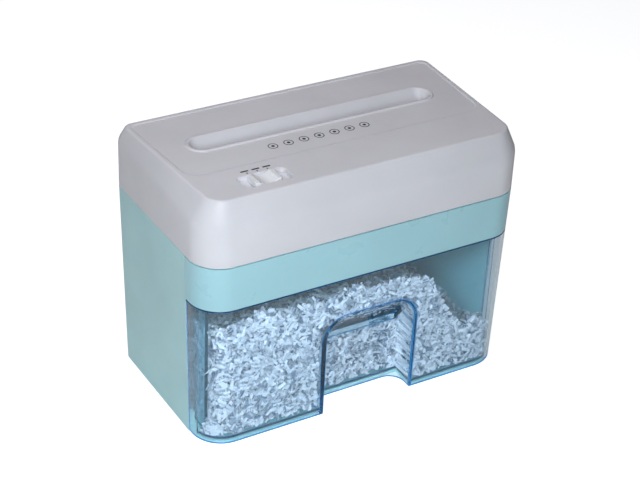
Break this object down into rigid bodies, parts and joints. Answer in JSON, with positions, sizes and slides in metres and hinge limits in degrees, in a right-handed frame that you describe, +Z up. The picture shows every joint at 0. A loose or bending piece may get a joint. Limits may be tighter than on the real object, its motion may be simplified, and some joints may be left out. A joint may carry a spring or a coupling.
{
  "type": "paper shredder",
  "caption": "Desktop cross-cut paper shredder: top feed slot and slide switch over a teal body with a clear pull-out bin.",
  "frame": {"origin": "centre of the footprint, on the floor", "axes": "+X across towards the user's right as seen from the front, -Y is the front with the bin, +Z up"},
  "size_m": [0.31, 0.168, 0.2375],
  "materials": {
    "cover_white": "glossy off-white ABS",
    "body_teal": "satin pale teal ABS",
    "apron_teal": "glossy pale teal ABS",
    "base_teal": "matte pale teal ABS",
    "rubber_black": "matte black rubber",
    "clear_blue": "clear ice-blue polystyrene",
    "runner_grey": "matte dark grey acetal",
    "tray_grey": "matte grey ABS",
    "plastic_black": "matte black ABS",
    "nylon_natural": "natural nylon, oiled",
    "zinc_steel": "zinc-plated sheet steel",
    "shaft_steel": "ground steel",
    "blade_steel": "hardened steel, oiled",
    "gear_steel": "sintered steel",
    "bronze": "sintered bronze, oiled",
    "screw_steel": "bright zinc-plated steel",
    "motor_steel": "plated steel can",
    "copper": "enamelled copper and laminations",
    "board_green": "green glass-epoxy board",
    "relay_blue": "blue plastic case",
    "capacitor_yellow": "yellow plastic case",
    "terminal_green": "green plastic block",
    "button_red": "red acetal",
    "pin_brass": "plated brass"
  },
  "bodies": {
    "machine": {"top_cover": "cover_white", "front_apron": "apron_teal", "body_shell": "body_teal", "base_plate": "base_teal", "rubber_feet": "rubber_black", "drawer_runners": "runner_grey", "head_tray": "tray_grey", "feed_guide": "tray_grey", "mode_switch": "plastic_black", "left_side_plate": "zinc_steel", "right_side_plate": "zinc_steel", "tie_rods": "shaft_steel", "tie_rod_nuts": "screw_steel", "front_stripper": "plastic_black", "rear_stripper": "plastic_black", "shaft_bushes": "bronze", "gear_axles": "shaft_steel", "motor_can": "motor_steel", "motor_stator": "copper", "motor_screws": "screw_steel", "gear_cover": "plastic_black", "control_board": "board_green", "drive_relay": "relay_blue", "filter_capacitor": "capacitor_yellow", "terminal_block": "terminal_green", "sensor_emitter": "plastic_black", "sensor_receiver": "plastic_black", "interlock_switch": "plastic_black", "power_inlet": "plastic_black", "inlet_pins": "pin_brass", "cover_screws": "screw_steel", "tray_screws": "screw_steel", "plate_screws": "screw_steel", "base_screws": "screw_steel"},
    "drawer": {"drawer_front": "clear_blue", "drawer_bin": "clear_blue"},
    "mode_knob": {"switch_knob": "cover_white"},
    "front_cutter": {"cutter_shaft_a": "shaft_steel", "cutter_discs_a": "blade_steel", "disc_spacers_a": "plastic_black", "timing_gear_a": "gear_steel", "final_gear": "gear_steel", "shaft_clips_a": "screw_steel"},
    "rear_cutter": {"cutter_shaft_b": "shaft_steel", "cutter_discs_b": "blade_steel", "disc_spacers_b": "plastic_black", "timing_gear_b": "gear_steel", "shaft_clip_b": "screw_steel"},
    "second_gear": {"second_gear": "nylon_natural"},
    "first_gear": {"first_gear": "nylon_natural"},
    "rotor": {"motor_rotor": "shaft_steel", "motor_pinion": "pin_brass", "motor_fan": "plastic_black"},
    "lock_plunger": {"interlock_plunger": "button_red"}
  },
  "joints": [
    {"name": "drawer_slide", "type": "slide", "parent": "machine", "child": "drawer", "axis": [0, -1, 0], "range_m": [0, 0.15]},
    {"name": "mode_slide", "type": "slide", "parent": "machine", "child": "mode_knob", "axis": [1, 0, 0], "range_m": [-0.0092, 0.0092]},
    {"name": "front_cutter_spin", "type": "hinge", "parent": "machine", "child": "front_cutter", "pos_m": [0, -0.003, 0.172], "axis": [1, 0, 0], "continuous": true},
    {"name": "rear_cutter_spin", "type": "hinge", "parent": "machine", "child": "rear_cutter", "pos_m": [0, 0.027, 0.172], "axis": [1, 0, 0], "continuous": true},
    {"name": "second_gear_spin", "type": "hinge", "parent": "machine", "child": "second_gear", "pos_m": [0, -0.02365, 0.20149], "axis": [1, 0, 0], "continuous": true},
    {"name": "first_gear_spin", "type": "hinge", "parent": "machine", "child": "first_gear", "pos_m": [0, -0.04814, 0.19012], "axis": [1, 0, 0], "continuous": true},
    {"name": "rotor_spin", "type": "hinge", "parent": "machine", "child": "rotor", "pos_m": [0, -0.051, 0.1675], "axis": [1, 0, 0], "continuous": true},
    {"name": "lock_plunger_slide", "type": "slide", "parent": "machine", "child": "lock_plunger", "axis": [0, -1, 0], "range_m": [0, 0.003]}
  ],
  "couplings": [
    {"joint": "first_gear_spin", "follows": "rotor_spin", "ratio": -0.26667},
    {"joint": "second_gear_spin", "follows": "rotor_spin", "ratio": 0.07619},
    {"joint": "front_cutter_spin", "follows": "rotor_spin", "ratio": -0.025397},
    {"joint": "rear_cutter_spin", "follows": "rotor_spin", "ratio": 0.025397},
    {"joint": "lock_plunger_slide", "follows": "drawer_slide", "ratio": 0.02}
  ]
}
